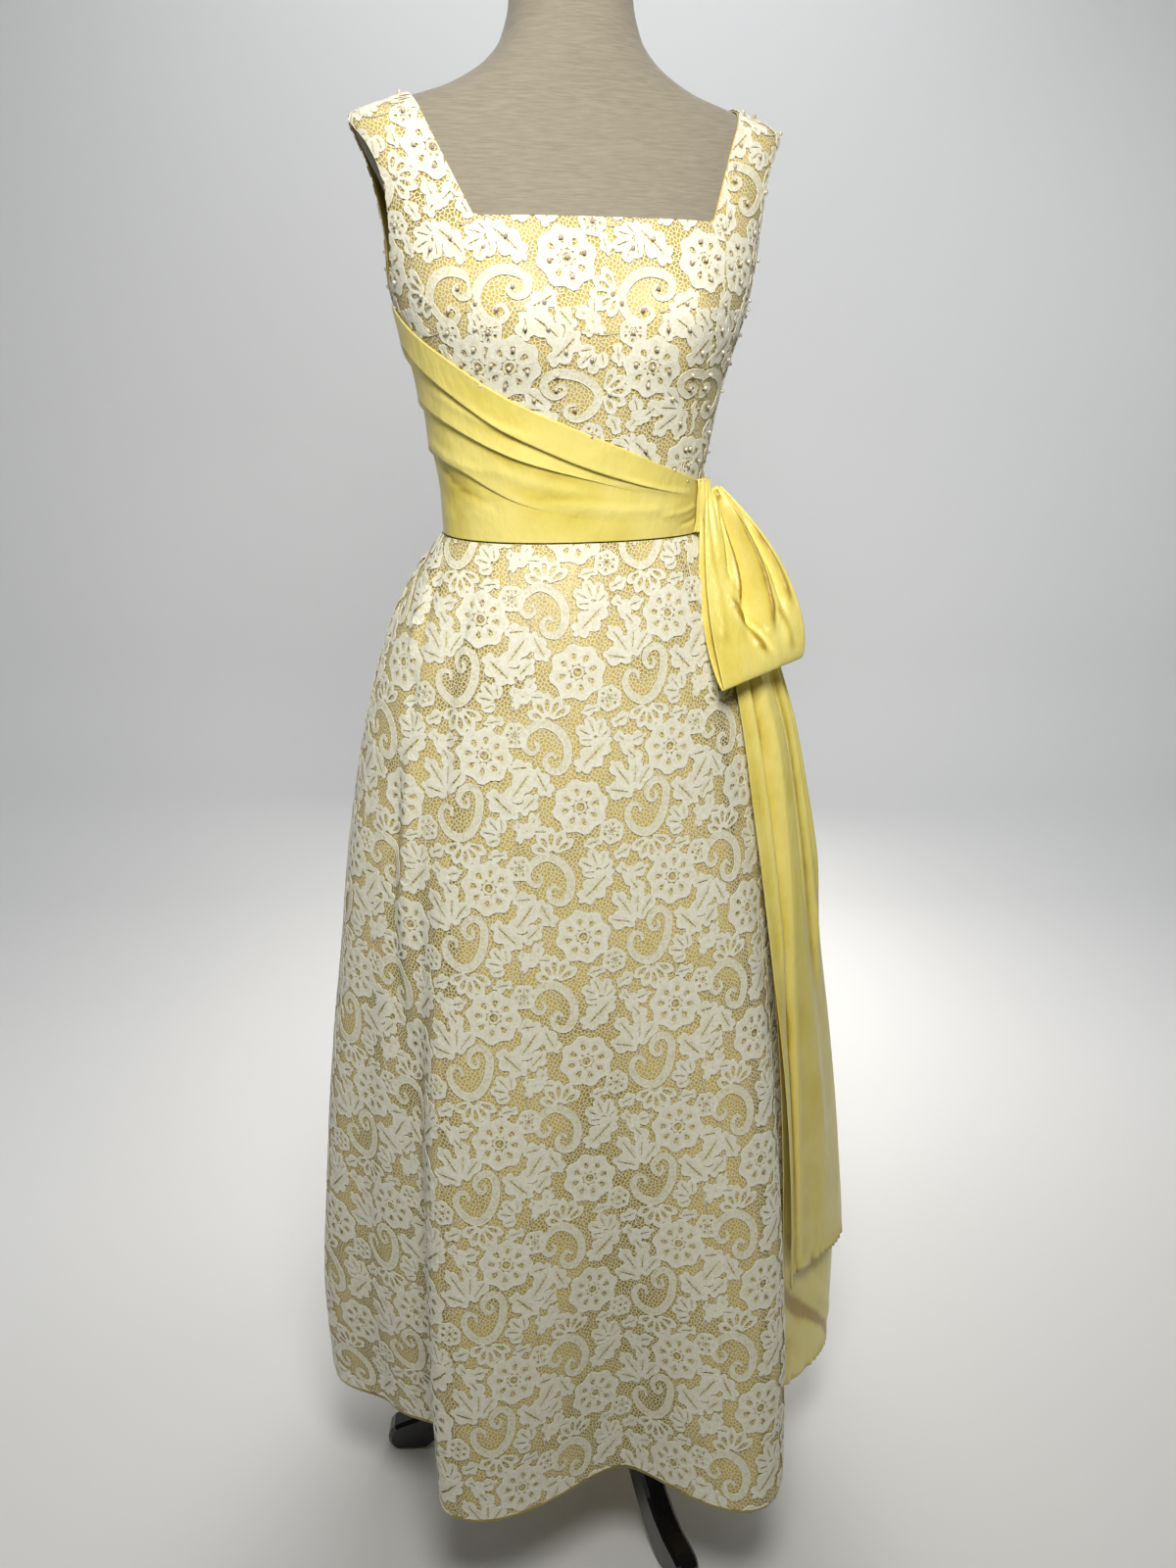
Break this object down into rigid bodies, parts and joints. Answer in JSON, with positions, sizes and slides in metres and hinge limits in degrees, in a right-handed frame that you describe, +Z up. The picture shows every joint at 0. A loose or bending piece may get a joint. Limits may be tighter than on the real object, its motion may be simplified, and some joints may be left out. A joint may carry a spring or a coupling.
{
  "type": "lace gown on dress form",
  "caption": "Sleeveless floor-length lace gown over a satin lining, with a pleated satin sash, side bow and tails, on a limbless dress form with a tripod stand.",
  "frame": {"origin": "middle of the bounding box's base, on the floor", "axes": "+Z up, the wearer's front towards -Y, the wearer's left towards +X"},
  "size_m": [0.6254, 0.6652, 1.668],
  "materials": {
    "satin": "soft sheen, plain satin weave",
    "lace": "matt corded lace with raised outlines",
    "linen": "matt linen weave stretched over the form",
    "black_enamel": "gloss black enamel"
  },
  "bodies": {
    "root": {"bodice_lining_front": "satin", "bodice_lining_back_left": "satin", "bodice_lining_back_right": "satin", "sash_front": "satin", "sash_back": "satin", "bow_knot": "satin", "bow_loop": "satin", "tail_front": "satin", "tail_back": "satin", "skirt_lining_front": "satin", "skirt_lining_front_side_left": "satin", "skirt_lining_front_side_right": "satin", "skirt_lining_back_side_left": "satin", "skirt_lining_back_left": "satin", "skirt_lining_back_right": "satin", "skirt_lining_back_side_right": "satin", "bodice_lace_front": "lace", "bodice_lace_side_left": "lace", "bodice_lace_side_right": "lace", "bodice_lace_back_left": "lace", "bodice_lace_back_right": "lace", "skirt_lace_front": "lace", "skirt_lace_back_left": "lace", "skirt_lace_back_right": "lace", "form_torso": "linen", "stand_pole": "black_enamel", "stand_hub": "black_enamel", "stand_leg_1": "black_enamel", "stand_leg_2": "black_enamel", "stand_leg_3": "black_enamel"}
  },
  "joints": []
}
